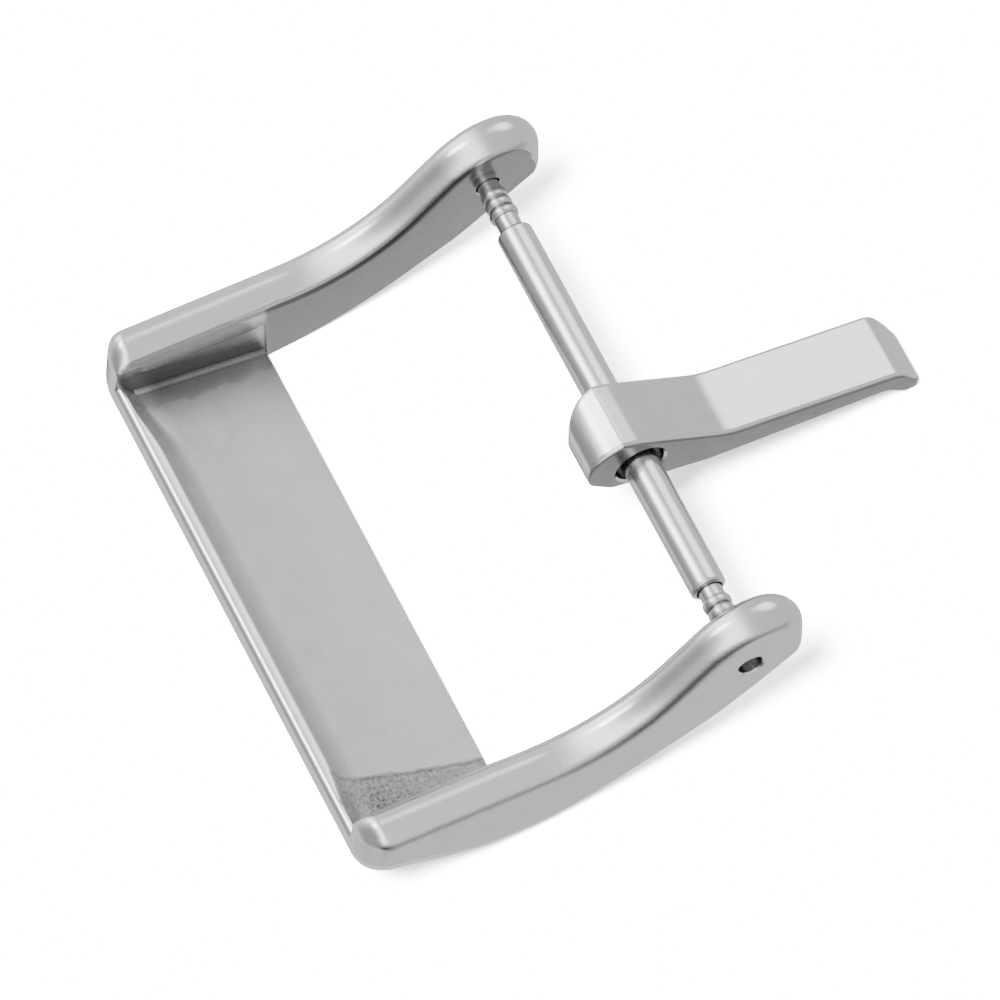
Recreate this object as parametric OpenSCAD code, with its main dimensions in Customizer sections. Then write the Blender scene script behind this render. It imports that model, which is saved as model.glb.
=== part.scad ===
// Pin buckle for a watch strap, stored as it lies on a table: outer face down, tongue swung open.
// The origin is the middle of the spring bar's axis, Y runs along the bar and Z points up.
// Side outlines are drawn in the x and z of the frame before it is tilted onto the table.

/* [Strap fit] */
// Gap between the two arms, which is the strap's width
strap_w = 22; // [18:0.5:26]
// Diameter of the spring bar's tube
bar_d = 1.5; // [1.3:0.05:1.8]

/* [Frame] */
// Thickness of each arm
arm_t = 1.8; // [1.5:0.05:2.2]
// From the bar's axis back to the crossbar's outer wall
reach = 16.6; // [15.5:0.05:19]
// From the bar's axis forward to the tip of a lug
nose = 2.54; // [2.3:0.02:3]
// Top of a lug above the bar's axis
lug_top = 2.65; // [2.4:0.05:3]
// Top of the arms beside the crossbar, below the bar's axis
arm_top_drop = 2.05; // [1.6:0.05:2.5]
// Lowest corner of the outer face's outline, below the bar's axis
belly_drop = 6.62; // [6.3:0.05:7]
// Foot of the crossbar's outer wall, below the bar's axis
foot_drop = 5.2; // [5:0.05:5.8]
// Radius of the frame's two corners seen from above
corner_r = 1.4; // [1.2:0.05:1.7]
// Rounding of the outer edge underneath, at the lug's tip
under_tip_r = 0.1; // [0.08:0.01:0.16]
// Rounding of the outer edge underneath, halfway along the arm
under_mid_r = 0.55; // [0.4:0.05:0.7]
// Rounding of the outer edge underneath, at the corner
under_corner_r = 1.44; // [1.2:0.02:1.44]
// Rounding of the crossbar's outer edge underneath
under_bar_r = 0.8; // [0.6:0.05:0.9]
// How much the crossbar's outer wall leans inwards, per unit of height
wall_lean = 0.14; // [0.1:0.02:0.25]
// Rounding of the inner edge underneath
inner_under_r = 0.06; // [0.04:0.01:0.12]

/* [Crossbar] */
// Top of the crossbar's rim below the bar's axis
rim_drop = 3.85; // [3.6:0.05:4.3]
// Rounding of the rim's outer edge
rim_edge_r = 0.3; // [0.2:0.05:0.4]
// Width of the rim's narrow top
rim_w = 0.55; // [0.45:0.05:0.8]
// From the outer wall's foot to the foot of the slope down to the plate
rim_low_w = 1.35; // [1.25:0.05:1.6]
// From the outer wall to the plate's inner edge
plate_w = 6.8; // [5.5:0.05:7.5]
// Thickness of the plate at its inner edge
plate_edge_t = 0.3; // [0.2:0.05:0.5]
// Slope of the plate's hollow side, in degrees
plate_slope = 9.5; // [7:0.5:11]
// Depth of the shallow pocket in each arm beside the plate
pocket_d = 0.12; // [0.05:0.01:0.2]

/* [Spring bar] */
// Length of the tube
tube_l = 17.8; // [15:0.1:18.2]
// How far the tube has slid towards the near arm
tube_shift = 0.2; // [0:0.05:0.25]
// How far the two pins have slid towards the near arm
pin_shift = 0.12; // [0:0.01:0.13]
// Bore of the tube
tube_bore_d = 1.26; // [1.2:0.01:1.3]
// Diameter of a pin's neck
neck_d = 1; // [0.9:0.01:1.04]
// Gap all round the neck in the tube's rolled mouth
mouth_gap = 0.06; // [0.04:0.01:0.08]
// Gap all round a pin's head in the tube's bore
head_gap = 0.03; // [0.02:0.01:0.05]
// Diameter of a pin's tip, which sits in the arm
tip_d = 0.92; // [0.8:0.01:1]
// Gap all round the tip in its hole
tip_gap = 0.06; // [0.04:0.01:0.09]
// Collars on each pin
collars = 3; // [2:1:3]
// Length of the tube's rolled lip
lip_l = 0.2; // [0.1:0.05:0.3]
// Rounding of the tube's ends
tube_end_r = 0.18; // [0.1:0.02:0.2]
// How deep a tip reaches into its arm
tip_l = 0.8; // [0.6:0.05:1]
// Diameter of the three collars, largest first
collar_d = 1.2; // [1.15:0.01:1.3]
// Distance from one collar to the next
collar_pitch = 0.45; // [0.4:0.01:0.48]
// Clearance between the outermost collar and the arm
collar_gap = 0.17; // [0.14:0.01:0.2]
// Length of a pin's head inside the tube
head_l = 1.3; // [1:0.1:1.6]
// Wire of the spring inside the tube
wire_d = 0.16; // [0.14:0.01:0.18]
// Turns of the spring
spring_turns = 16; // [12:1:18]

/* [Tongue] */
// Metal behind the bar in the tongue's hub
hub_wall = 1.35; // [0.9:0.05:1.4]
// Where the hub's slope meets the blade, forward of the bar's axis
shoulder_x = 3.9; // [3.5:0.1:4.5]
// Height of that bend, from the bar's axis
shoulder_z = -0.5; // [-0.8:0.05:-0.3]
// Fall of the blade towards its tip, in degrees
blade_slope = 8; // [6:0.5:10]
// Width of the tongue
tongue_w = 3.06; // [2.4:0.02:3.6]
// Middle of the tongue along the bar
tongue_y = -1.42; // [-3:0.01:3]
// Gap all round the bar in the tongue's hole
tongue_play = 0.3; // [0.2:0.05:0.35]
// From the bar's axis to the tip's end
tongue_l = 12.36; // [12:0.02:13]
// Thickness of the tongue's blade
blade_t = 1.05; // [0.9:0.05:1.5]
// Rounding of the tongue's long edges
tongue_edge_r = 0.26; // [0.1:0.02:0.3]
// Rounding of the hub's far corner seen from above
hub_corner_r = 1.5; // [0.8:0.05:1.6]
// Rounding of the tip's corners seen from above
tip_corner_r = 0.35; // [0.2:0.05:0.6]

/* [Hidden] */
arc_step = 6;
fine = 64;
outer_w = strap_w + 2 * arm_t;
dome_r = arm_t / 2;
// Length of the dome's rounded end at the crossbar
dome_end_l = 1.05;
// Share of the outer wall's lean that is gone at the frame's outer corner
corner_fill = 0.6;
// Lowest stretch of the belly: where its two bends lie, and how wide they are
belly_bend_x = -11.2;
belly_bend_r = 11;
belly_rise = [-6.06, -5.61];
belly_rise_r = 17;
// The lug's foot and the neck behind it
lug_foot = [nose, -0.02];
lug_foot_r = 1.6;
neck_low = [-1.35, -3.04];
neck_r = 9;
// The crest: where its slope meets the lug's top, and its three bends
slope_x = -0.9;
valley_r = 7.5;
lug_back_r = 3.5;
lug_front_r = 1.85;
// Points along the arm where the outer edge's rounding changes
under_steps = [-11.5, -8.5, -5, 0.5];
// The rim's inner edge and the sweep at the slope's foot
rim_fall = 0.02;
rim_inner_r = 0.15;
slope_foot_r = 1.4;
crossbar_overlap = 0.1;
// The pocket's top, below the arm's crease, and where its outline steps down
pocket_below = 0.75;
pocket_steps = [0.6, 2.6];
pocket_falls = [0.1, 0.2, 0.5];
pocket_start = 0.4;
// Collars, heads and tips of the pins
collar_step = 0.03;
groove_w = 0.06;
groove_depth = 0.05;
head_stop_gap = 0.12;
tip_round = 0.12;
spring_gap = 0.05;
hair = 0.001;
// The hub's back, seen from the side, and its upper corner
hub_back_low = -0.15;
hub_back_high = 0.85;
hub_back_lean = 0.2;
hub_top = [-0.72, 2.08];
hub_low = [-1.25, -1.05];
blade_root_x = 3;
// The tip: its bevel, its end and the hook under it
tip_bevel_l = 0.9;
tip_bevel_h = 1.1;
tip_h = 1.45;
tip_foot_l = 0.75;
tip_hook_l = 1.5;
hole_d = tip_d + 2 * tip_gap;
mouth_d = neck_d + 2 * mouth_gap;
head_d = tube_bore_d - 2 * head_gap;

// Small vector tools, in the plane of a side outline
function unit(v) = v / norm(v);
function turned(v, a) = [v.x * cos(a) - v.y * sin(a), v.x * sin(a) + v.y * cos(a)];
function left_of(v) = [-v.y, v.x];
function mix(a, b, t) = a + (b - a) * t;
function ease(t) = t * t * (3 - 2 * t);
function last(list) = list[len(list) - 1];

// One rounded corner b between a and c: a list of [point, normal], the normal on the left of travel
function rounded_corner(a, b, c, r) =
    let (
        u = unit([b.x - a.x, b.y - a.y]),
        v = unit([c.x - b.x, c.y - b.y]),
        turn = atan2(u.x * v.y - u.y * v.x, u * v),
        side = sign(turn),
        back = r * tan(abs(turn) / 2),
        start = [b.x, b.y] - u * back,
        centre = start + left_of(u) * side * r,
        n = max(1, ceil(abs(turn) / arc_step))
    )
    [for (k = [0:n]) [centre + turned(start - centre, turn * k / n), turned(left_of(u), turn * k / n)]];

// An open outline through corners [x, z, r], its two ends square
function rounded_line(p) =
    let (
        n = len(p),
        u = unit([p[1].x - p[0].x, p[1].y - p[0].y]),
        v = unit([p[n - 1].x - p[n - 2].x, p[n - 1].y - p[n - 2].y])
    )
    concat(
        [[[p[0].x, p[0].y], left_of(u)]],
        [for (i = [1:n - 2]) each rounded_corner(p[i - 1], p[i], p[i + 1], p[i][2])],
        [[[p[n - 1].x, p[n - 1].y], left_of(v)]]
    );

// Lengths along an outline, and the point and normal at a given share of it
function lengths(q, i = 0, sum = 0) =
    i == len(q) - 1 ? [sum] : concat([sum], lengths(q, i + 1, sum + norm(q[i + 1][0] - q[i][0])));
function at_share(q, s, share) =
    let (
        want = share * last(s),
        i = max([0, for (k = [0:len(s) - 2]) if (s[k] <= want) k]),
        t = (want - s[i]) / max(1e-9, s[i + 1] - s[i])
    )
    [mix(q[i][0], q[i + 1][0], t), unit(mix(q[i][1], q[i + 1][1], t))];

// Side outline underneath: down the crossbar's outer wall, round its foot and along to the lug's tip
bend_x = -reach + corner_r;
belly = [
    [-reach, -rim_drop, 0],
    [-reach, -foot_drop, under_bar_r],
    [belly_bend_x, -belly_drop, belly_bend_r],
    [belly_rise.x, belly_rise.y, belly_rise_r],
    [neck_low.x, neck_low.y, neck_r],
    [lug_foot.x, lug_foot.y, lug_foot_r],
    [lug_foot.x, lug_top, 0]
];
// Side outline of the crest, from the crossbar's corner over the lug to its lower tip
valley_x = slope_x - (lug_top + arm_top_drop);
crest = [
    [bend_x, -arm_top_drop, 0],
    [valley_x, -arm_top_drop, valley_r],
    [slope_x, lug_top, lug_back_r],
    [nose, lug_top, lug_front_r],
    [lug_foot.x, lug_foot.y, lug_foot_r],
    [neck_low.x, neck_low.y, 0]
];
crest_line = rounded_line(crest);
top_side = [for (i = [0:len(crest_line) - 2]) crest_line[i]];
belly_line = rounded_line(belly);
belly_table = [for (i = [1:len(belly_line) - 1]) belly_line[i][0]];
function belly_z(x) = lookup(x, belly_table);

// The lower outline stops where the crest's outline, rounding the lug's tip, runs into it
meet = last(top_side);
under_side = concat(
    [[[bend_x, belly_z(bend_x)], [0, 1]]],
    [for (q = belly_line) if (q[0].x > bend_x + 0.1 && q[0].x < meet[0].x - 0.02 && q[0].y < meet[0].y) q],
    [[meet[0], -meet[1]]]
);

// A ring of an arm's skin: inside up from the underside, out, up the wall, over and down inside.
// r is its rounding: top outside, top inside, underneath outside, underneath inside
edge_n = 8;
function top_point(p, n, y, drop) = [p.x - n.x * drop, y, p.y - n.y * drop];
function low_point(p, n, y, lift) = [p.x + n.x * lift, y, p.y + n.y * lift];
function skin_ring(y_out, crest_p, crest_n, low_p, low_n, r) =
    let (steps = [for (k = [0:edge_n]) [1 - cos(90 * k / edge_n), 1 - sin(90 * k / edge_n)]], y_in = -strap_w / 2)
    concat(
        [for (k = [edge_n:-1:0]) low_point(low_p, low_n, y_in - r[3] * steps[k][1], r[3] * steps[k][0])],
        [for (k = [edge_n:-1:0]) low_point(low_p, low_n, y_out + r[2] * steps[k][0], r[2] * steps[k][1])],
        [for (k = [0:edge_n]) top_point(crest_p, crest_n, y_out + r[0] * steps[k][0], r[0] * steps[k][1])],
        [for (k = [0:edge_n]) top_point(crest_p, crest_n, y_in - r[1] * steps[k][1], r[1] * steps[k][0])]
    );

// Rings of one arm, from the lug's tip back to the corner
top_s = lengths(top_side);
under_s = lengths(under_side);
foot_turn = atan2(lug_foot.x - neck_low.x, lug_foot.y - neck_low.y);
tip_start = len(top_side) - 1 - ceil(foot_turn / arc_step);
under_table = [
    [-reach, under_corner_r], [bend_x, under_corner_r],
    [under_steps[0], mix(under_mid_r, under_corner_r, 0.3)], [under_steps[1], under_mid_r],
    [under_steps[2], under_mid_r], [under_steps[3], under_tip_r], [nose, under_tip_r]
];
arm_rings = [for (i = [len(top_side) - 1:-1:0])
    let (
        q = top_side[i],
        b = i == len(top_side) - 1 ? last(under_side) : at_share(under_side, under_s, top_s[i] / last(top_s)),
        t = ease(max(0, (i - tip_start) / (len(top_side) - 1 - tip_start)))
    )
    skin_ring(-outer_w / 2, q[0], q[1], b[0], b[1],
        [mix(dome_r, under_tip_r, t), mix(dome_r, inner_under_r, t), lookup(b[0].x, under_table), inner_under_r])];

// Rings round the corner, where the dome ends in a rounded shoulder above the crossbar's outer wall
end_n = 14;
function lean_share(x) = ease(min(1, max(0, (bend_x - x) / corner_r)));
function leaned(x, z, beside = 0) =
    x + wall_lean * (1 - corner_fill * beside / arm_t) * lean_share(x) * max(0, z + foot_drop);
end_rings = [for (k = [1:end_n])
    let (
        a = 90 * k / end_n,
        x = bend_x - corner_r * sin(a),
        out = corner_r * (1 - cos(a)),
        wide = arm_t - out,
        u = max(0, (dome_end_l - reach - x) / dome_end_l),
        top = -arm_top_drop - dome_r * (1 - sqrt(max(0, 1 - u * u))),
        tall = top - belly_z(x),
        ring = skin_ring(-outer_w / 2 + out, [x, top], [0, 1], [x, belly_z(x)], [0, 1],
            [min(dome_r, wide / 2, tall * 0.4), min(dome_r, wide / 2, tall * 0.4),
                min(under_corner_r, wide * 0.8, tall * 0.5), inner_under_r])
    )
    [for (p = ring) [leaned(p.x, p.z, -strap_w / 2 - p.y), p.y, p.z]]];

// One arm's closed skin, its first ring folded flat at the lug's tip and its last ring capped
module arm() {
    rings = concat(arm_rings, end_rings);
    m = len(rings[0]);
    n = len(rings);
    function id(i, k) = let (j = k % m) i == 0 && j >= m / 2 ? m - 1 - j : i * m + j;
    sides = [for (i = [0:n - 2], k = [0:m - 1])
        each [[id(i, k), id(i + 1, k), id(i, k + 1)], [id(i, k + 1), id(i + 1, k), id(i + 1, k + 1)]]];
    polyhedron([for (r = rings) each r], concat(
        [for (f = sides) if (f[0] != f[1] && f[1] != f[2] && f[0] != f[2]) f],
        [[for (k = [m - 1:-1:0]) (n - 1) * m + k]]
    ));
}

// Closed skin through rings of equal length, with a flat cap on each end
module capped_skin(rings) {
    m = len(rings[0]);
    n = len(rings);
    sides = [for (i = [0:n - 2], k = [0:m - 1]) let (j = (k + 1) % m)
        each [[i * m + k, (i + 1) * m + k, i * m + j], [i * m + j, (i + 1) * m + k, (i + 1) * m + j]]];
    caps = [[for (k = [0:m - 1]) k], [for (k = [m - 1:-1:0]) (n - 1) * m + k]];
    polyhedron([for (r = rings) each r], concat(sides, caps));
}

// The crossbar between the arms: wall, rim, slope, the plate's hollow side, its thin edge and the belly
plate_x = -reach + plate_w;
plate_top_z = belly_z(plate_x) + plate_edge_t;
slope_foot_x = -reach + rim_low_w;
slope_foot_z = plate_top_z + (plate_x - slope_foot_x) * tan(plate_slope);
rim_x = leaned(-reach, -rim_drop);
foot = belly_table[0];
plate_top = rounded_line([
    [leaned(foot.x, foot.y), foot.y, 0],
    [rim_x, -rim_drop, rim_edge_r],
    [rim_x + rim_w, -rim_drop - rim_fall, rim_inner_r],
    [slope_foot_x, slope_foot_z, slope_foot_r],
    [plate_x, plate_top_z, 0]
]);
plate_low = concat(
    [[plate_x, belly_z(plate_x)]],
    [for (i = [len(belly_table) - 1:-1:1])
        let (p = belly_table[i])
        if (p.x < plate_x - 0.05) [leaned(p.x, p.y), p.y]]
);
module crossbar() {
    w = strap_w + 2 * (pocket_d + crossbar_overlap);
    translate([0, w / 2, 0]) rotate([90, 0, 0]) linear_extrude(w)
        polygon(concat([for (q = plate_top) q[0]], plate_low));
}

// Shallow pocket in the inner face of an arm, above the plate
pocket_top_z = -arm_top_drop - dome_r - pocket_below;
pocket_low_z = -belly_drop;
module pocket(side) {
    outline = [
        [plate_x, pocket_low_z],
        [plate_x, pocket_top_z + pocket_falls[0]],
        [plate_x - pocket_steps[0], pocket_top_z],
        [plate_x - pocket_steps[1], pocket_top_z],
        [bend_x + pocket_start / 2, pocket_top_z + pocket_falls[1]],
        [bend_x - pocket_start, pocket_top_z + pocket_falls[2]],
        [bend_x - pocket_start, pocket_low_z]
    ];
    translate([0, side * (strap_w / 2 + pocket_d / 2) + pocket_d, 0]) rotate([90, 0, 0])
        linear_extrude(2 * pocket_d) polygon(outline);
}

module frame() {
    color([0.78, 0.78, 0.79]) on_table() difference() {
        union() {
            for (side = [-1, 1]) difference() {
                mirror([0, side > 0 ? 1 : 0, 0]) arm();
                pocket(side);
            }
            crossbar();
        }
        for (side = [-1, 1]) translate([0, side * outer_w / 2, 0]) rotate([90, 0, 0])
            cylinder(h = 3 * arm_t, d = hole_d, center = true, $fn = fine);
    }
}

// Side outline of the tongue: hub, sloping shoulder, blade and flared tip
hub_back = bar_d / 2 + tongue_play + hub_wall;
blade_fall = (tongue_l - shoulder_x) * tan(blade_slope);
tip_top_z = shoulder_z - blade_fall;
tip_low_z = tip_top_z - tip_h;
tongue_corners = [
    [hub_back_lean - hub_back, hub_back_low, 0.8],
    [-hub_back, hub_back_high, 0.4],
    [hub_top.x, hub_top.y, 0.35],
    [shoulder_x, shoulder_z, 3],
    [tongue_l - tip_bevel_l, tip_top_z + tip_bevel_l * tan(blade_slope), 0.2],
    [tongue_l, tip_top_z - tip_bevel_h, 0.15],
    [tongue_l - 0.1, tip_low_z, 0.15],
    [tongue_l - tip_foot_l, tip_low_z, 0.35],
    [tongue_l - tip_hook_l, tip_top_z - blade_t * 0.8, 0.9],
    [blade_root_x, shoulder_z - 0.45 - blade_t, 3],
    [hub_low.x, hub_low.y, 0.9]
];
function closed_line(p) =
    let (n = len(p))
    [for (i = [0:n - 1]) each rounded_corner(p[(i + n - 1) % n], p[i], p[(i + 1) % n], p[i][2])];
tongue_points = [for (q = closed_line(tongue_corners)) q[0]];
tongue_xs = [for (p = tongue_points) p.x];
back_i = search(min(tongue_xs), tongue_xs)[0];
tip_i = search(max(tongue_xs), tongue_xs)[0];
tongue_over = [for (i = [back_i:tip_i]) tongue_points[i]];
tongue_under = [for (i = [back_i + len(tongue_points):-1:tip_i]) tongue_points[i % len(tongue_points)]];
function sorted(v) =
    len(v) < 2 ? v : let (m = v[floor(len(v) / 2)])
    concat(sorted([for (a = v) if (a < m) a]), [m], sorted([for (a = v) if (a > m) a]));
stations = let (v = sorted(tongue_xs), least = 0.02)
    [for (i = [1:len(v) - 2]) if (v[i] - v[i - 1] > least && v[len(v) - 1] - v[i] > least / 2) v[i]];

// The tongue's cross-section at x, an upright rectangle with rounded corners
function short_by(r, d) = d <= 0 ? 0 : r - sqrt(max(0, r * r - d * d));
function section(x) =
    let (
        top = lookup(x, tongue_over),
        low = lookup(x, tongue_under),
        tip = short_by(tip_corner_r, x - tongue_l + tip_corner_r),
        far = tongue_w / 2 - tip - short_by(hub_corner_r, hub_corner_r - hub_back - x),
        near = tip - tongue_w / 2,
        r = min(tongue_edge_r, (top - low) * 0.45),
        corners = [[far - r, top - r, 0], [near + r, top - r, 90], [near + r, low + r, 180], [far - r, low + r, 270]],
        n = 4
    )
    [for (c = corners, k = [0:n]) let (a = c[2] + 90 * k / n) [x, c.x + r * cos(a), c.y + r * sin(a)]];
module tongue() {
    color([0.8, 0.8, 0.81]) on_table() translate([0, tongue_y, 0]) difference() {
        capped_skin([for (x = stations) section(x)]);
        rotate([90, 0, 0]) cylinder(h = 2 * tongue_w, d = bar_d + 2 * tongue_play, center = true, $fn = fine);
    }
}

// Turns a profile of [radius, distance along the bar] about the bar's axis
module turned_part(profile) {
    rotate([-90, 0, 0]) rotate_extrude($fn = fine) polygon(profile);
}
function quarter(cx, cy, r, from, n = 5) =
    [for (k = [0:n]) let (a = from + 90 * k / n) [cx + r * cos(a), cy + r * sin(a)]];

module bar_tube() {
    e = tube_end_r;
    h = tube_l / 2;
    m = mouth_d / 2;
    b = tube_bore_d / 2;
    color([0.72, 0.72, 0.73]) on_table() translate([0, -tube_shift, 0]) turned_part(concat(
        [[m, -h]],
        quarter(bar_d / 2 - e, -h + e, e, -90),
        quarter(bar_d / 2 - e, h - e, e, 0),
        [[m, h], [m, h - lip_l], [b, h - lip_l - b + m], [b, -h + lip_l + b - m], [m, -h + lip_l]]
    ));
}

// A pin lies along the bar from its head inside the tube to its tip inside the arm
collar_out = strap_w / 2 - collar_gap;
collar_in = collar_out - collars * collar_pitch;
head_out = tube_l / 2 - tube_shift + pin_shift - lip_l - head_stop_gap;
head_in = head_out - head_l;
function collar_r(i) = collar_d / 2 - collar_step * i;
function collar(i) =
    let (
        from = collar_in + i * collar_pitch,
        w = collar_pitch - groove_w,
        low = neck_d / 2 - groove_depth,
        n = 6
    )
    [for (k = [0:n]) let (a = 180 * k / n)
        [low + (collar_r(i) - low) * pow(sin(a), 0.5), from + w / 2 * (1 - cos(a))]];
module pin(side) {
    tip_out = strap_w / 2 + tip_l;
    profile = concat(
        [[0, head_in], [head_d / 2, head_in], [head_d / 2, head_out], [neck_d / 2, head_out]],
        [[neck_d / 2, collar_in - hair]],
        [for (i = [0:collars - 1]) each collar(i)],
        [[tip_d / 2, collar_out - groove_w + hair], [tip_d / 2, tip_out - tip_round]],
        [[tip_d / 2 - tip_round, tip_out], [0, tip_out]]
    );
    color([0.7, 0.7, 0.71]) on_table() translate([0, -pin_shift, 0])
        mirror([0, side > 0 ? 0 : 1, 0]) turned_part(profile);
}
module bar_pin_far() pin(1);
module bar_pin_near() pin(-1);

// The spring inside the tube, one unbroken wire pressed between the two pins' heads
coil_r = tube_bore_d / 2 - spring_gap - wire_d / 2;
coil_l = 2 * (head_in - spring_gap) - wire_d;
coil_n = 8;
wire_n = 6;
coil_pitch = coil_l / spring_turns;
echo(spring_gap_between_turns = coil_pitch - wire_d);
module bar_spring() {
    steps = spring_turns * coil_n;
    rings = [for (i = [0:steps]) let (a = 360 * i / coil_n, y = coil_l * (i / steps - 0.5))
        [for (k = [0:wire_n - 1]) let (b = 360 * k / wire_n, r = coil_r + wire_d / 2 * cos(b))
            [r * cos(a), y + wire_d / 2 * sin(b), r * sin(a)]]];
    color([0.6, 0.6, 0.62]) on_table() translate([0, -pin_shift, 0]) capped_skin(rings);
}

// The tilt at which the crossbar's outer face and the tongue's tip both touch the table
function lowest(points, a) = min([for (p = points) p.y * cos(a) - p.x * sin(a)]);
function settle(low, high, n) =
    let (a = (low + high) / 2)
    n == 0 ? a : lowest(belly_table, a) < lowest(tongue_points, a) ? settle(a, high, n - 1) : settle(low, a, n - 1);
table_tilt = settle(0, 20, 30);
echo(table_tilt = table_tilt, table_z = lowest(belly_table, table_tilt));
module on_table() rotate([0, table_tilt, 0]) children();

frame();
tongue();
bar_tube();
bar_pin_far();
bar_pin_near();
bar_spring();
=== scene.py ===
import bmesh
import bpy
import math
from mathutils import Matrix, Vector


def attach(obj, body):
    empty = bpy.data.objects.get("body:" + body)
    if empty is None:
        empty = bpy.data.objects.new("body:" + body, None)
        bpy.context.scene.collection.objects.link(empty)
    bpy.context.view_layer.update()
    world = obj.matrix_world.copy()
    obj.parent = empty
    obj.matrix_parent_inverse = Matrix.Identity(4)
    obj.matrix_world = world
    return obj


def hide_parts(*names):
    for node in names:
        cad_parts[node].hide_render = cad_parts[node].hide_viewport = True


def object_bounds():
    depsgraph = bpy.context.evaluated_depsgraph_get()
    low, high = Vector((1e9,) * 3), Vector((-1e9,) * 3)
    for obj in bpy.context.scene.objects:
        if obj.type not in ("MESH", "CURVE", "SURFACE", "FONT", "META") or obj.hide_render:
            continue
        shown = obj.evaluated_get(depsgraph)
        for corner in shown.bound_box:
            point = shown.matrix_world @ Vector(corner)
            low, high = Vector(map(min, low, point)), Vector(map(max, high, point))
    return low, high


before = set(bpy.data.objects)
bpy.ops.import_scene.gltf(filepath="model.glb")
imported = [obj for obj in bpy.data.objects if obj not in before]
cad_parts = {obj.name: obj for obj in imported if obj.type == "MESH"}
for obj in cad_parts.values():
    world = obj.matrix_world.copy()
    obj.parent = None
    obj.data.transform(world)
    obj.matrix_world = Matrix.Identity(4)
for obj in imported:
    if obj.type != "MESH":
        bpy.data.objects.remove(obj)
cad_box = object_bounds()

# Driving sizes of the buckle in millimetres, in its own plane before it is laid on the table
TILT = math.radians(8.17769)
STRAP_W = 22.0
ARM_T = 1.8
OUTER_W = STRAP_W + 2 * ARM_T
REACH = 16.6
NOSE = 2.54
LUG_TOP = 2.65
ARM_TOP = -2.05
FOOT_Z = -5.2
BELLY_Z = -6.62
CORNER_R = 1.4
CORNER_FILL = 0.6
UNDER_CORNER_R = 1.44
UNDER_MID_R = 0.55
UNDER_LUG_R = 0.1
THIN_EDGE_R = 0.06
RIM_Z = -3.85
RIM_R = 0.3
RIM_W = 0.55
RIM_LOW_W = 1.35
PLATE_W = 6.8
PLATE_EDGE = 0.3
PLATE_SLOPE = math.radians(9.5)
LEAN = 0.14
DOME_R = ARM_T / 2
HOLE_R = 0.52
BEND_X = -REACH + CORNER_R
PLATE_X = -REACH + PLATE_W
TUBE_R = 0.75
TUBE_L = 17.8
TUBE_SHIFT = -0.2
PIN_SHIFT = -0.12

TABLE_MAP = Matrix.Scale(0.001, 4) @ Matrix.Rotation(TILT, 4, "Y")


# Small helpers

def lookup(x, table):
    """The height at x on a line of (x, height) points."""
    if x <= table[0][0]:
        return table[0][1]
    for (xa, za), (xb, zb) in zip(table, table[1:]):
        if x <= xb:
            return za + (zb - za) * (x - xa) / max(1e-9, xb - xa)
    return table[-1][1]


def ease(t):
    t = min(1.0, max(0.0, t))
    return t * t * (3 - 2 * t)


def short_by(r, d):
    """How far a round corner of radius r falls back at a distance d past its start."""
    return 0.0 if d <= 0 else r - math.sqrt(max(0.0, r * r - d * d))


# Side outlines. A corner is (x, z, rounding radius), and a line is a list of points with their normals

def arc(before, corner, after, r, step, count=None):
    """The rounded corner, in count parts or in parts of at most step degrees."""
    u = (corner - before).normalized()
    v = (after - corner).normalized()
    turn = math.atan2(u.x * v.y - u.y * v.x, u.dot(v))
    side = 1 if turn > 0 else -1
    start = corner - u * (r * math.tan(abs(turn) / 2))
    left = Vector((-u.y, u.x))
    centre = start + left * side * r
    parts = count or max(1, math.ceil(abs(math.degrees(turn)) / step))
    out = []
    for k in range(parts + 1):
        spin = Matrix.Rotation(turn * k / parts, 2)
        out.append((centre + spin @ (start - centre), spin @ left))
    return out


def open_line(corners, step=None, gap=None, count=None):
    points = [Vector(q[:2]) for q in corners]
    first = (points[1] - points[0]).normalized()
    last = (points[-1] - points[-2]).normalized()
    line = [(points[0], Vector((-first.y, first.x)))]
    for i in range(1, len(points) - 1):
        line += arc(points[i - 1], points[i], points[i + 1], corners[i][2], step, count)
    line.append((points[-1], Vector((-last.y, last.x))))
    return dense(line, gap) if gap else line


def dense(line, gap):
    """The same line with no two points further apart than the gap."""
    out = [line[0]]
    for (a, a_normal), (b, b_normal) in zip(line, line[1:]):
        parts = max(1, math.ceil((b - a).length / gap))
        for k in range(1, parts + 1):
            out.append((a.lerp(b, k / parts), a_normal.lerp(b_normal, k / parts).normalized()))
    return out


def lengths(line):
    s = [0.0]
    for (a, _), (b, _) in zip(line, line[1:]):
        s.append(s[-1] + (b - a).length)
    return s


def at_share(line, s, share):
    """The point and normal at a share of the line's length."""
    want = share * s[-1]
    i = max(k for k in range(len(s) - 1) if s[k] <= want + 1e-9)
    t = (want - s[i]) / max(1e-9, s[i + 1] - s[i])
    normal = line[i][1].lerp(line[i + 1][1], t).normalized()
    return line[i][0].lerp(line[i + 1][0], t), normal


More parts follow.
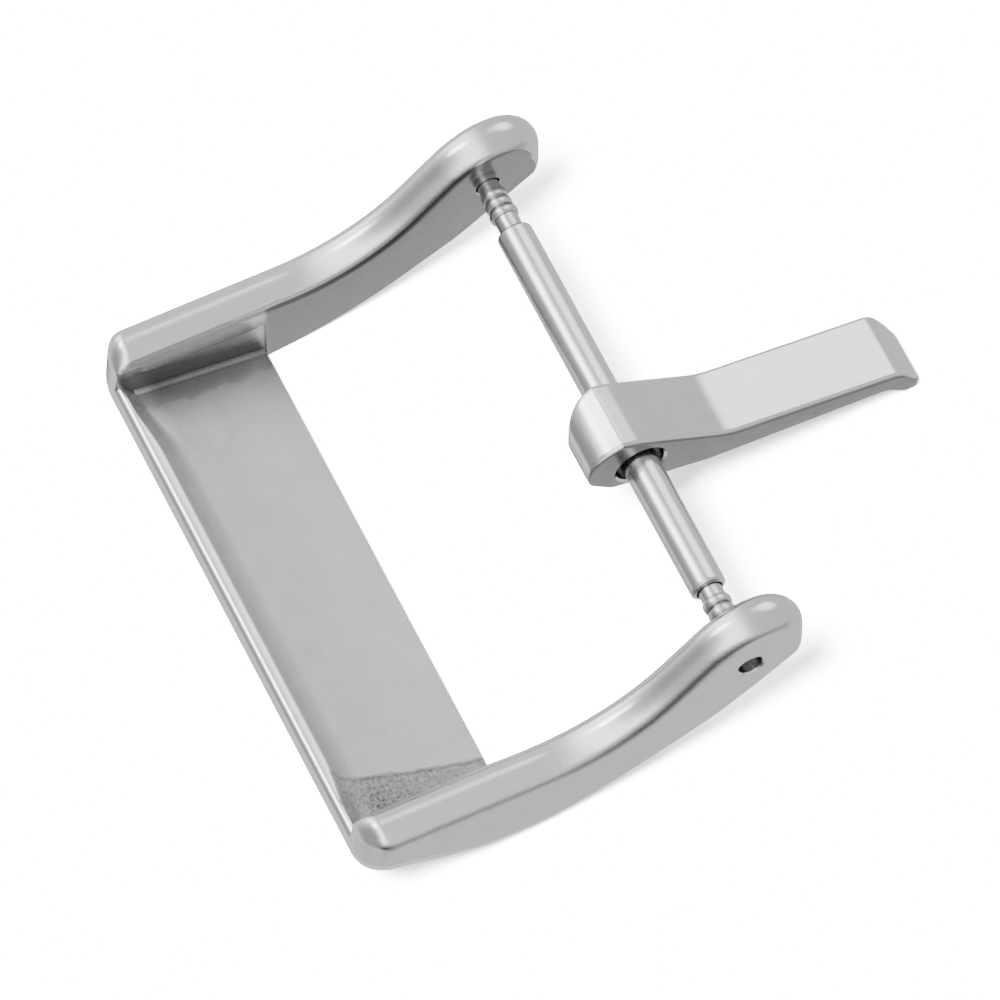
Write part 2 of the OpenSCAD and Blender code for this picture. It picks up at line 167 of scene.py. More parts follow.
# The arm's side view: the belly runs under it, and the crest over it and round the lug's nose
LUG_FOOT = (NOSE, -0.02)
LUG_FOOT_R = 1.6
NECK_LOW = (-1.35, -3.04)
NECK_R = 9
BELLY_X = -11.2
BELLY_R = 11
BELLY_END = (-6.06, -5.61)
BELLY_END_R = 17
FOOT_R = 0.8
SLOPE_X = -0.9
SLOPE_R = 3.5
VALLEY_X = SLOPE_X - (LUG_TOP - ARM_TOP)
VALLEY_R = 7.5
NOSE_R = 1.85
CURVE_STEP = 3
CURVE_GAP = 0.5
belly = open_line([
    (-REACH, RIM_Z, 0), (-REACH, FOOT_Z, FOOT_R), (BELLY_X, BELLY_Z, BELLY_R), (*BELLY_END, BELLY_END_R),
    (*NECK_LOW, NECK_R), (*LUG_FOOT, LUG_FOOT_R), (NOSE, LUG_TOP, 0)
], CURVE_STEP, CURVE_GAP)
crest = open_line([
    (BEND_X, ARM_TOP, 0), (VALLEY_X, ARM_TOP, VALLEY_R), (SLOPE_X, LUG_TOP, SLOPE_R),
    (NOSE, LUG_TOP, NOSE_R), (*LUG_FOOT, LUG_FOOT_R), (*NECK_LOW, 0)
], CURVE_STEP, CURVE_GAP)

# The crest ends where the nose's lower rounding meets the neck
foot_way = Vector(LUG_FOOT) - Vector(NECK_LOW)
foot_back = LUG_FOOT_R * math.tan((math.pi / 2 - math.atan2(foot_way.y, foot_way.x)) / 2)
while (crest[-1][0] - Vector(NECK_LOW)).length < foot_way.length - foot_back - 0.001:
    crest.pop()

belly_table = [(q.x, q.y) for q, _ in belly[1:]]
for i in range(len(belly_table) - 1, 0, -1):
    if belly_table[i][0] <= belly_table[i - 1][0]:
        belly_table.pop(i - 1)

# Radius of the belly's outer edge along the arm
under_table = [
    (-REACH, UNDER_CORNER_R), (BEND_X, UNDER_CORNER_R), (-11.5, 0.82), (-8.5, UNDER_MID_R),
    (-5, UNDER_MID_R), (0.5, UNDER_LUG_R), (NOSE, UNDER_LUG_R)
]


def belly_z(x):
    return lookup(x, belly_table)


def lean(x, z, beside=0.0):
    """The crossbar's outer side leans in with height, less so towards the arm's outer side."""
    share = 1 - CORNER_FILL * beside / ARM_T
    return x + LEAN * share * ease((BEND_X - x) / CORNER_R) * max(0.0, z - FOOT_Z)


# Strips of the frame and of the tongue, kept as material slots
DOME = 0
OUTER_WALL = 1
PLATE = 2
INNER_WALL = 3
POCKET_BACK = 4
TONGUE_FACE = 0
TONGUE_SIDE = 1


def skin(rings, slot_of):
    """A closed mesh through equal rings; each face keeps its strip as its material slot."""
    bm = bmesh.new()
    rows = [[bm.verts.new(p) for p in ring] for ring in rings]
    around = len(rings[0])
    for a, b in zip(rows, rows[1:]):
        for k in range(around):
            j = (k + 1) % around
            face = bm.faces.new((a[k], a[j], b[j], b[k]))
            face.material_index = slot_of(k)
            face.smooth = True
    bm.faces.new(list(reversed(rows[0])))
    bm.faces.new(rows[-1])
    return bm


def lathe(profile, segments=96):
    """A turned surface round the bar's axis, from (radius, y) points."""
    bm = bmesh.new()
    rows = []
    for r, y in profile:
        row = []
        for k in range(segments):
            a = 2 * math.pi * k / segments
            row.append(bm.verts.new((r * math.cos(a), y, r * math.sin(a))))
        rows.append(row)
    for a, b in zip(rows, rows[1:]):
        for k in range(segments):
            j = (k + 1) % segments
            face = bm.faces.new((a[k], b[k], b[j], a[j]))
            face.smooth = True
    return bm


def plug(profile, segments=96):
    """A turned solid with closed ends, for cutting a hole."""
    bm = lathe(profile, segments)
    verts = list(bm.verts)
    bm.faces.new(verts[:segments])
    bm.faces.new(list(reversed(verts[-segments:])))
    bmesh.ops.recalc_face_normals(bm, faces=bm.faces)
    return bm


def as_object(name, bm):
    mesh = bpy.data.meshes.new(name)
    bm.to_mesh(mesh)
    bm.free()
    obj = bpy.data.objects.new(name, mesh)
    bpy.context.scene.collection.objects.link(obj)
    return obj


def cut(obj, tool_bm):
    tool = as_object("tool", tool_bm)
    boolean = obj.modifiers.new("cut", "BOOLEAN")
    boolean.operation = "DIFFERENCE"
    boolean.solver = "EXACT"
    boolean.object = tool
    graph = bpy.context.evaluated_depsgraph_get()
    mesh = bpy.data.meshes.new_from_object(obj.evaluated_get(graph))
    obj.modifiers.clear()
    obj.data = mesh
    bpy.data.objects.remove(tool)


SMALLEST_FACE = 1e-9
STRIP_KEEN = 0.12


def finish_mesh(obj, keen):
    """Marks the edges sharper than keen, and lays the piece on the table in metres."""
    bm = bmesh.new()
    bm.from_mesh(obj.data)
    bmesh.ops.dissolve_degenerate(bm, dist=1e-5, edges=bm.edges)
    for face in bm.faces:
        face.smooth = True
    for e in bm.edges:
        if len(e.link_faces) == 2:
            a, b = e.link_faces
            angle = a.normal.angle(b.normal, 0)
            if min(a.calc_area(), b.calc_area()) > SMALLEST_FACE and angle > keen:
                e.smooth = False
            if a.material_index != b.material_index and angle > STRIP_KEEN:
                e.smooth = False
    bm.transform(TABLE_MAP)
    bm.to_mesh(obj.data)
    bm.free()


# The arms
DOME_TURN = math.radians(76)
FULL_TURN = math.pi / 2
LUG_EDGE_R = 0.1
SOFT_FROM = -1.6
SOFT_L = 1.8
POCKET_FADE_X = PLATE_X - 0.9
POCKET_FADE_L = 1.6
EDGE_N = 14
RING_PART = EDGE_N + 1
END_N = 36
END_L = 1.05
END_SOFT_N = 14


def edge(turn, k):
    """Point k of a rounded edge: its shares across and down, from the middle of the dome outwards."""
    a = turn * k / EDGE_N
    return math.sin(a) / math.sin(turn), (1 - math.cos(a)) / (1 - math.cos(turn))


def arm_ring(y_out, top, top_way, low, low_way, r, turn, turn_in):
    """One cross-section; r holds the radii of the outer and inner top and outer and inner low edges."""
    y_in = -STRAP_W / 2
    ring = []
    for k in range(EDGE_N, -1, -1):
        s, c = edge(FULL_TURN, k)
        ring.append((low + low_way * r[3] * c, y_in - r[3] * (1 - s)))
    for k in range(EDGE_N + 1):
        s, c = edge(FULL_TURN, k)
        ring.append((low + low_way * r[2] * c, y_out + r[2] * (1 - s)))
    for k in range(EDGE_N, -1, -1):
        s, c = edge(turn, k)
        ring.append((top - top_way * r[0] * c, y_out + r[0] * (1 - s)))
    for k in range(EDGE_N + 1):
        s, c = edge(turn_in, k)
        ring.append((top - top_way * r[1] * c, y_in - r[1] * (1 - s)))
    return [(p.x, y, p.y) for p, y in ring]


def ring_slot(k):
    if k == 2 * RING_PART - 1:
        return OUTER_WALL
    return INNER_WALL if k >= 4 * RING_PART - 4 else DOME


def length_rings():
    """The arm from the lug's nose to the crossbar's bend. Its dome fades into the lug's end."""
    top_s = lengths(crest)
    meet, meet_way = crest[-1]
    under = [(Vector((BEND_X, belly_z(BEND_X))), Vector((0, 1)))]
    under += [(p, way) for p, way in belly if BEND_X + 0.05 < p.x < meet.x - 0.02 and p.y < meet.y]
    under.append((meet, -meet_way))
    under_s = lengths(under)
    foot_l = LUG_FOOT_R * math.atan2(LUG_FOOT[0] - NECK_LOW[0], LUG_FOOT[1] - NECK_LOW[1])
    rings = []
    last = len(crest) - 1
    for i in range(last, -1, -1):
        p, p_way = crest[i]
        q, q_way = at_share(under, under_s, top_s[i] / top_s[-1]) if i < last else under[-1]
        at_foot = ease((top_s[i] - (top_s[-1] - foot_l)) / foot_l)
        at_lug = ease((p.x - SOFT_FROM) / SOFT_L)
        at_pocket = 1 - ease((p.x - POCKET_FADE_X) / POCKET_FADE_L)
        turn = DOME_TURN + (FULL_TURN - DOME_TURN) * max(at_foot, at_lug)
        turn_in = DOME_TURN + (FULL_TURN - DOME_TURN) * max(at_foot, at_lug, at_pocket)
        out_r = DOME_R + (LUG_EDGE_R - DOME_R) * at_foot
        in_r = DOME_R + (THIN_EDGE_R - DOME_R) * at_foot
        r = [out_r, in_r, lookup(q.x, under_table), THIN_EDGE_R]
        rings.append(arm_ring(-OUTER_W / 2, p, p_way, q, q_way, r, turn, turn_in))
    return rings


def end_rings():
    """The arm's rounded corner at the crossbar, where the dome comes down to nothing."""
    up = Vector((0, 1))
    rings = []
    for k in range(1, END_N + 1):
        a = FULL_TURN * k / END_N
        x = BEND_X - CORNER_R * math.sin(a)
        out = CORNER_R * (1 - math.cos(a))
        wide = ARM_T - out
        u = max(0.0, (END_L - REACH - x) / END_L)
        top = ARM_TOP - DOME_R * (1 - math.sqrt(max(0.0, 1 - u * u)))
        tall = top - belly_z(x)
        dome_r = min(DOME_R, wide / 2, tall * 0.4)
        r = [dome_r, dome_r, min(UNDER_CORNER_R, wide * 0.8, tall * 0.5), THIN_EDGE_R]
        turn = DOME_TURN + (FULL_TURN - DOME_TURN) * ease(k / END_SOFT_N)
        low = Vector((x, belly_z(x)))
        ring = arm_ring(-OUTER_W / 2 + out, Vector((x, top)), up, low, up, r, turn, FULL_TURN)
        rings.append([(lean(px, pz, -STRAP_W / 2 - py), py, pz) for px, py, pz in ring])
    return rings


# The pin's hole has a small chamfer inside the arm and a wider one outside, as (radius, y) points
HOLE_OUT_R = 0.70
HOLE_IN_R = 0.62
TOOL_L = 3.0
HOLE_TOOL = [
    (HOLE_OUT_R, -TOOL_L), (HOLE_OUT_R, -ARM_T / 2 - 0.06), (HOLE_R, -ARM_T / 2 + 0.06),
    (HOLE_R, ARM_T / 2 - 0.04), (HOLE_IN_R, ARM_T / 2 + 0.06), (HOLE_IN_R, TOOL_L)
]

# The shallow pocket in the arm's inner wall, beside the plate, as (x, z) points
WALL_TOP = ARM_TOP - DOME_R
POCKET_D = 0.12
POCKET_TOP = WALL_TOP - 0.75
POCKET_START_X = BEND_X - 0.4
POCKET = [
    (PLATE_X, BELLY_Z), (PLATE_X, POCKET_TOP + 0.1), (PLATE_X - 0.6, POCKET_TOP),
    (PLATE_X - 2.6, POCKET_TOP), (BEND_X + 0.2, POCKET_TOP + 0.2),
    (POCKET_START_X, POCKET_TOP + 0.5), (POCKET_START_X, BELLY_Z)
]


def pocket_tool():
    bm = bmesh.new()
    deep = [bm.verts.new((x, -STRAP_W / 2 - POCKET_D, z)) for x, z in POCKET]
    out = [bm.verts.new((x, -STRAP_W / 2 + POCKET_D, z)) for x, z in POCKET]
    bm.faces.new(deep)
    bm.faces.new(list(reversed(out)))
    for k in range(len(POCKET)):
        j = (k + 1) % len(POCKET)
        bm.faces.new((deep[j], deep[k], out[k], out[j]))
    bmesh.ops.recalc_face_normals(bm, faces=bm.faces)
    return bm


def is_pocket(face):
    """The pocket's back, and the wall in the corner that carries on from it."""
    c = face.calc_center_median()
    if abs(c.y + STRAP_W / 2 + POCKET_D) < 0.01 and POCKET_START_X < c.x < PLATE_X:
        return True
    at_wall = c.y > -STRAP_W / 2 - 0.35 and face.normal.y > 0.4
    return at_wall and c.x < BEND_X and c.z < WALL_TOP + 0.05


def arm(side):
    bm = skin(length_rings() + end_rings(), ring_slot)
    bmesh.ops.remove_doubles(bm, verts=bm.verts, dist=1e-4)
    bmesh.ops.recalc_face_normals(bm, faces=bm.faces)
    obj = as_object("arm", bm)
    hole = plug(HOLE_TOOL)
    bmesh.ops.translate(hole, verts=hole.verts, vec=(0, -OUTER_W / 2 + ARM_T / 2, 0))
    cut(obj, hole)
    cut(obj, pocket_tool())
    bm = bmesh.new()
    bm.from_mesh(obj.data)
    # These faces carry the pocket's painted shade.
    for face in bm.faces:
        if is_pocket(face):
            face.material_index = POCKET_BACK
    if side > 0:
        bmesh.ops.scale(bm, verts=bm.verts, vec=(1, -1, 1))
        bmesh.ops.reverse_faces(bm, faces=bm.faces)
    bpy.data.objects.remove(obj)
    return bm


# The crossbar: a rim with a sloping plate, filleted into the arms
PLATE_TOP = belly_z(PLATE_X) + PLATE_EDGE
SLOPE_FOOT_X = -REACH + RIM_LOW_W
RIM_X = lean(-REACH, RIM_Z)
FILLET_R = 0.2
RIM_NARROW = 0.3
RIM_BACK_R = 0.12
RIM_END_Y = 7.5
RIM_END_L = 3.2
FOOT_BACK = 0.28
HOLLOW_R = 1.4
HOLLOW_END_R = 0.3
CORNER_PARTS = 10
BAR_END_Y = STRAP_W / 2 + 0.2


def crossbar_line(y):
    """The crossbar's outline at y: its rim narrows and its hollow tightens towards the arms."""
    foot_x, foot_z = belly_table[0]
    end = ease((abs(y) - RIM_END_Y) / RIM_END_L)
    slope_x = SLOPE_FOOT_X - FOOT_BACK * end
    slope_z = PLATE_TOP + (PLATE_X - slope_x) * math.tan(PLATE_SLOPE)
    over = open_line([
        (lean(foot_x, foot_z), foot_z, 0), (RIM_X, RIM_Z, RIM_R),
        (RIM_X + RIM_W - RIM_NARROW * end, RIM_Z - 0.02, RIM_BACK_R),
        (slope_x, slope_z, HOLLOW_R - (HOLLOW_R - HOLLOW_END_R) * end),
        (PLATE_X - 0.03, PLATE_TOP, 0.02), (PLATE_X, PLATE_TOP - 0.08, 0)
    ], count=CORNER_PARTS)
    into = min(FILLET_R, max(0.0, abs(y) - (STRAP_W / 2 + POCKET_D - FILLET_R)))
    lift = FILLET_R - math.sqrt(max(0.0, FILLET_R ** 2 - into ** 2))
    outline = [(p.x, p.y + lift * ease((p.x - RIM_X - 0.3) / 0.7)) for p, _ in over]
    outline += [(PLATE_X, belly_z(PLATE_X) + 0.04), (PLATE_X - 0.04, belly_z(PLATE_X - 0.04))]
    outline += [(lean(x, z), z) for x, z in reversed(belly_table[1:]) if x < PLATE_X - 0.1]
    return outline


def crossbar_stations():
    """Places along the bar, close together at its fillets and 1 mm apart in the middle."""
    ends = [BAR_END_Y - 0.04 * k for k in range(14)] + [BAR_END_Y - 0.56 - 0.3 * k for k in range(15)]
    return [-y for y in ends] + [-5.0 + k for k in range(11)] + list(reversed(ends))


def crossbar():
    stations = crossbar_stations()
    lines = [crossbar_line(y) for y in stations]
    middle = lines[len(lines) // 2]
    bm = bmesh.new()
    grid = [[bm.verts.new((x, y, z)) for x, z in line] for y, line in zip(stations, lines)]
    around = len(middle)
    for a, b in zip(grid, grid[1:]):
        for k in range(around):
            j = (k + 1) % around
            face = bm.faces.new((a[k], b[k], b[j], a[j]))
            face.smooth = True
            mid_x = (middle[k][0] + middle[j][0]) / 2
            low_z = min(middle[k][1], middle[j][1])
            on_top = SLOPE_FOOT_X - 0.75 < mid_x < PLATE_X - 0.02 and low_z > belly_z(mid_x) + 0.12
            face.material_index = PLATE if on_top else DOME
    bm.faces.new(grid[0])
    bm.faces.new(list(reversed(grid[-1])))
    bmesh.ops.recalc_face_normals(bm, faces=bm.faces)
    return bm


def joined(name, parts):
    bm = bmesh.new()
    for part in parts:
        mesh = bpy.data.meshes.new("part")
        part.to_mesh(mesh)
        bm.from_mesh(mesh)
        bpy.data.meshes.remove(mesh)
        part.free()
    return as_object(name, bm)


body = joined("frame_body", [arm(-1), arm(1), crossbar()])
finish_mesh(body, math.radians(32))

# The tongue: upright cross-sections along its length, with rounded edges
TONGUE_L = 12.36
TONGUE_W = 3.06
TONGUE_Y = -1.42
TONGUE_EDGE_R = 0.22
TONGUE_EDGE_N = 8
TONGUE_BORE_R = 1.05
TONGUE_BORE_MOUTH_R = 1.16
HUB_BACK = TUBE_R + 0.3 + 1.35
HUB_R = 1.85
HUB_CREST = (-0.72, 2.07)
HUB_BELLY = (-1.25, -1.05)
SHOULDER_X = 3.9
SHOULDER_Z = -0.5
BLADE_T = 1.05
BLADE_SLOPE = math.radians(8)
TIP_BEVEL_L = 0.9
TIP_BEVEL_H = 1.1
TIP_HOOK_L = 1.5
TIP_FOOT_L = 0.75
TIP_R = 0.35
TIP_FAR_R = 0.95
TIP_TOP = SHOULDER_Z - (TONGUE_L - SHOULDER_X) * math.tan(BLADE_SLOPE)
TIP_LOW = TIP_TOP - 1.45
TONGUE_LINE = [
    (0.2 - HUB_BACK, -0.15, 0.8), (-HUB_BACK, 1.2, 1.25), (-1.4, 1.84, 1.6), (*HUB_CREST, 0.18),
    (-0.05, 1.81, 1.6), (SHOULDER_X, SHOULDER_Z, 3),
    (TONGUE_L - TIP_BEVEL_L, TIP_TOP + TIP_BEVEL_L * math.tan(BLADE_SLOPE), 1.0),
    (TONGUE_L, TIP_TOP - TIP_BEVEL_H, 0.15), (TONGUE_L - 0.1, TIP_LOW, 0.15),
    (TONGUE_L - TIP_FOOT_L, TIP_LOW, 0.35), (TONGUE_L - TIP_HOOK_L, TIP_TOP - BLADE_T * 0.8, 0.9),
    (3, SHOULDER_Z - 0.45 - BLADE_T, 3), (*HUB_BELLY, 0.9)
]


def tongue_loop():
    points = [Vector(q[:2]) for q in TONGUE_LINE]
    loop = []
    for i, corner in enumerate(TONGUE_LINE):
        after = points[(i + 1) % len(points)]
        loop += [p for p, _ in arc(points[i - 1], points[i], after, corner[2], 4)]
    return loop


tongue_side = tongue_loop()
back_i = min(range(len(tongue_side)), key=lambda i: tongue_side[i].x)
tip_i = max(range(len(tongue_side)), key=lambda i: tongue_side[i].x)
tongue_over = [(p.x, p.y) for p in tongue_side[back_i:tip_i + 1]]
tongue_under = [(p.x, p.y) for p in (tongue_side[tip_i:] + tongue_side[:back_i + 1])][::-1]


def tongue_section(x):
    """One cross-section, narrower at the hub's back and at the tip's corners."""
    top = lookup(x, tongue_over)
    low = lookup(x, tongue_under)
    tip_far = short_by(TIP_FAR_R, x - TONGUE_L + TIP_FAR_R)
    far = TONGUE_W / 2 - tip_far - short_by(HUB_R, HUB_R - HUB_BACK - x)
    near = short_by(TIP_R, x - TONGUE_L + TIP_R) - TONGUE_W / 2
    r = min(TONGUE_EDGE_R, (top - low) * 0.45)
    centres = ((far - r, top - r), (near + r, top - r), (near + r, low + r), (far - r, low + r))
    ring = []
    for quarter, (y, z) in enumerate(centres):
        for k in range(TONGUE_EDGE_N + 1):
            a = math.radians(90 * quarter + 90 * k / TONGUE_EDGE_N)
            ring.append((x, y + r * math.cos(a), z + r * math.sin(a)))
    return ring


def tongue_slot(k):
    near_top = TONGUE_EDGE_N + 1 + TONGUE_EDGE_N // 2
    near_low = 2 * (TONGUE_EDGE_N + 1) + TONGUE_EDGE_N // 2
    # The near side's faces take the tongue's painted shade.
    return TONGUE_SIDE if near_top <= k <= near_low else TONGUE_FACE


def tongue_stations():
    """Places of the cross-sections, closer together where the hub and the tip are round."""
    xs = sorted({round(p.x, 4) for p in tongue_side})
    full = []
    for a, b in zip(xs, xs[1:]):
        gap = 0.1 if a < HUB_R - HUB_BACK or a > TONGUE_L - 1.2 else 0.35
        parts = max(1, math.ceil((b - a) / gap))
        full += [a + (b - a) * k / parts for k in range(parts)]
    full.append(xs[-1])
    kept = [full[0] + 0.006]
    for x in full[1:]:
        if x - kept[-1] > 0.008 and full[-1] - x > 0.006:
            kept.append(x)
    return kept


def tongue_bore():
    """The hole's tool, with a chamfer at either side of the hub."""
    half = TONGUE_W / 2
    mouth = [(TONGUE_BORE_MOUTH_R, -TOOL_L), (TONGUE_BORE_MOUTH_R, -half - 0.02)]
    mouth.append((TONGUE_BORE_R, -half + 0.1))
    return plug(mouth + [(r, -y) for r, y in reversed(mouth)])


def tongue_piece():
    bm = skin([tongue_section(x) for x in tongue_stations()], tongue_slot)
    bmesh.ops.recalc_face_normals(bm, faces=bm.faces)
    obj = as_object("tongue_blade", bm)
    cut(obj, tongue_bore())
    obj.data.transform(Matrix.Translation((0, TONGUE_Y, 0)))
    finish_mesh(obj, math.radians(30))
    return obj


tongue = tongue_piece()

# The bar: a drawn tube with rolled mouths, and two turned pins
TUBE_BORE_R = 0.6
MOUTH_R = 0.56
MOUTH_EDGE_R = 0.03
ROLL_R = 0.18
TUBE_PARTS = 40


def arc_points(centre_r, centre_y, r, start, end, parts):
    out = []
    for k in range(parts + 1):
        a = math.radians(start + (end - start) * k / parts)
        out.append((centre_r + r * math.cos(a), centre_y + r * math.sin(a)))
    return out


def tube_line():
    """The tube's wall as (radius, y) points, from inside one mouth round to inside the other."""
    end = TUBE_L / 2
    mouth = [(TUBE_BORE_R, -end + 0.75), (TUBE_BORE_R, -end + 0.22), (MOUTH_R, -end + 0.16)]
    mouth.append((MOUTH_R, -end + MOUTH_EDGE_R))
    mouth += arc_points(MOUTH_R + MOUTH_EDGE_R, -end + MOUTH_EDGE_R, MOUTH_EDGE_R, 180, 270, 3)
    mouth += arc_points(TUBE_R - ROLL_R, -end + ROLL_R, ROLL_R, -90, 0, 8)
    plain_l = TUBE_L - 2 * ROLL_R
    plain = [(TUBE_R, -end + ROLL_R + plain_l * k / TUBE_PARTS) for k in range(1, TUBE_PARTS)]
    return mouth + plain + [(r, -y) for r, y in reversed(mouth)]


def tube_piece():
    obj = as_object("tube_sleeve", lathe(tube_line(), 128))
    obj.data.transform(Matrix.Translation((0, TUBE_SHIFT, 0)))
    finish_mesh(obj, math.radians(50))
    return obj


tube_obj = tube_piece()

HEAD_R = 0.6
HEAD_L = 1.3
HEAD_BACK = 0.32
STEM_R = 0.5
COLLARS = 3
COLLAR_PITCH = 0.45
COLLAR_GAP = 0.06
COLLAR_R = 0.6
COLLAR_TAPER = 0.03
COLLAR_ROUND = 0.45
COLLAR_PARTS = 16
GROOVE_R = 0.45
TIP_PIN_R = 0.46
TIP_PIN_L = 0.8
AXIS_R = 0.0005


def collar(start, r):
    """One rounded collar between two grooves."""
    half = (COLLAR_PITCH - COLLAR_GAP) / 2
    points = []
    for k in range(COLLAR_PARTS + 1):
        a = math.pi * k / COLLAR_PARTS
        swell = max(0.0, math.sin(a)) ** COLLAR_ROUND
        points.append((GROOVE_R + (r - GROOVE_R) * swell, start + half - half * math.cos(a)))
    return points


def pin(side):
    """A pin from its head in the tube, over three collars, to its tip in the arm's hole."""
    end = STRAP_W / 2 - 0.17
    start = end - COLLARS * COLLAR_PITCH
    head = TUBE_L / 2 + side * TUBE_SHIFT - side * PIN_SHIFT - HEAD_BACK
    line = [(AXIS_R, head - HEAD_L), (HEAD_R - 0.04, head - HEAD_L), (HEAD_R, head - HEAD_L + 0.04)]
    line += [(HEAD_R, head - 0.03), (HEAD_R - 0.03, head), (STEM_R, head)]
    line += [(STEM_R, head + (start - head) * k / 4) for k in range(1, 4)]
    line.append((STEM_R, start - 0.02))
    for i in range(COLLARS):
        line += collar(start + i * COLLAR_PITCH, COLLAR_R - COLLAR_TAPER * i)
    tip = STRAP_W / 2 + TIP_PIN_L
    line += [(TIP_PIN_R, end - 0.055), (TIP_PIN_R, tip - 0.12), (TIP_PIN_R - 0.12, tip), (AXIS_R, tip)]
    bm = lathe([(r, side * y) for r, y in line])
    bmesh.ops.recalc_face_normals(bm, faces=bm.faces)
    obj = as_object("pin_far_turned" if side > 0 else "pin_near_turned", bm)
    obj.data.transform(Matrix.Translation((0, PIN_SHIFT, 0)))
    finish_mesh(obj, math.radians(38))
    return obj


pin_far = pin(1)
pin_near = pin(-1)


# Materials. Every colour, scratch and mark, painted light and shade among them, is placed by the piece's
# own coordinates in millimetres

EVEN = (1, 1, 1)


class Steel:
    """A metal surface and short names for the nodes that colour and roughen it."""

    def __init__(self, name):
        self.mat = bpy.data.materials.new(name)
        self.mat.use_nodes = True
        self.tree = self.mat.node_tree
        self.bsdf = self.tree.nodes["Principled BSDF"]
        where = self.tree.nodes.new("ShaderNodeTexCoord")
        turn = self.tree.nodes.new("ShaderNodeMapping")
        turn.vector_type = "POINT"
        turn.inputs["Rotation"].default_value = (0, -TILT, 0)
        turn.inputs["Scale"].default_value = (1000, 1000, 1000)
        self.link(where.outputs["Object"], turn.inputs["Vector"])
        self.place = turn.outputs["Vector"]

    def link(self, a, b):
        self.tree.links.new(a, b)

    def feed(self, value, socket):
        if isinstance(value, (int, float)):
            socket.default_value = value
        else:
            self.link(value, socket)

    def math(self, op, a, b=0.0, c=0.0, clamp=False):
        node = self.tree.nodes.new("ShaderNodeMath")
        node.operation = op
        node.use_clamp = clamp
        self.feed(a, node.inputs[0])
        self.feed(b, node.inputs[1])
        self.feed(c, node.inputs[2])
        return node.outputs[0]

    def add(self, a, b):
        return self.math("ADD", a, b)

    def times(self, a, b):
        return self.math("MULTIPLY", a, b)

    def scaled(self, value, by, plus):
        return self.math("MULTIPLY_ADD", value, by, plus)

    def less(self, a, b, clamp=False):
        return self.math("SUBTRACT", a, b, clamp=clamp)

    def noise(self, scale, stretch=EVEN, detail=3.0, rough=0.5, shift=(0, 0, 0)):
        spread = self.tree.nodes.new("ShaderNodeMapping")
        spread.inputs["Scale"].default_value = stretch
        spread.inputs["Location"].default_value = shift
        self.link(self.place, spread.inputs["Vector"])
        node = self.tree.nodes.new("ShaderNodeTexNoise")
        node.inputs["Scale"].default_value = scale
        node.inputs["Detail"].default_value = detail
        node.inputs["Roughness"].default_value = rough
        self.link(spread.outputs["Vector"], node.inputs["Vector"])
        return node.outputs["Fac"]

    def axis(self, which):
        node = self.tree.nodes.new("ShaderNodeSeparateXYZ")
        self.link(self.place, node.inputs["Vector"])
        return node.outputs[which]

    def step(self, value, start, end, low=0.0, high=1.0):
        return smooth_step(self.tree, value, start, end, low, high)

    def grey(self, value):
        node = self.tree.nodes.new("ShaderNodeCombineColor")
        for i in range(3):
            self.feed(value, node.inputs[i])
        return node.outputs["Color"]

    def bump(self, height, strength, distance=0.00002):
        node = self.tree.nodes.new("ShaderNodeBump")
        node.inputs["Strength"].default_value = strength
        node.inputs["Distance"].default_value = distance
        self.feed(height, node.inputs["Height"])
        self.link(node.outputs["Normal"], self.bsdf.inputs["Normal"])

    def surface(self, colour, roughness):
        self.bsdf.inputs["Metallic"].default_value = 1.0
        self.feed(self.grey(colour), self.bsdf.inputs["Base Color"])
        self.feed(roughness, self.bsdf.inputs["Roughness"])
        return self.mat


def smooth_step(tree, value, start, end, low, high):
    """A value that eases from low to high while the input runs from start to end."""
    node = tree.nodes.new("ShaderNodeMapRange")
    node.interpolation_type = "SMOOTHSTEP"
    node.inputs["From Min"].default_value = start
    node.inputs["From Max"].default_value = end
    node.inputs["To Min"].default_value = low
    node.inputs["To Max"].default_value = high
    tree.links.new(value, node.inputs["Value"])
    return node.outputs["Result"]


def polished(name, base, rough, grain, along=EVEN, lug=0.0):
    """Polished steel with fine lines, soft clouds and a few pits; lug darkens its tone towards the lug, a
    painted shade.
    """
    steel = Steel(name)
    fine = steel.noise(26, along, detail=4, rough=0.6)
    cloud = steel.noise(1.1)
    pit = steel.step(steel.noise(9, detail=2, shift=(3, 1, 7)), 0.72, 0.8)
    colour = steel.add(steel.scaled(cloud, 0.09, base - 0.045), steel.times(pit, -0.06))
    # The lug's darker tone is painted shade.
    if lug:
        colour = steel.add(colour, steel.step(steel.axis("X"), -1.5, 1.0, 0.0, lug))
    roughness = steel.add(steel.scaled(fine, 0.10, rough - 0.05), steel.times(pit, 0.15))
    steel.bump(steel.add(steel.times(fine, 0.35), steel.times(cloud, 1.0)), grain)
    return steel.surface(colour, roughness)


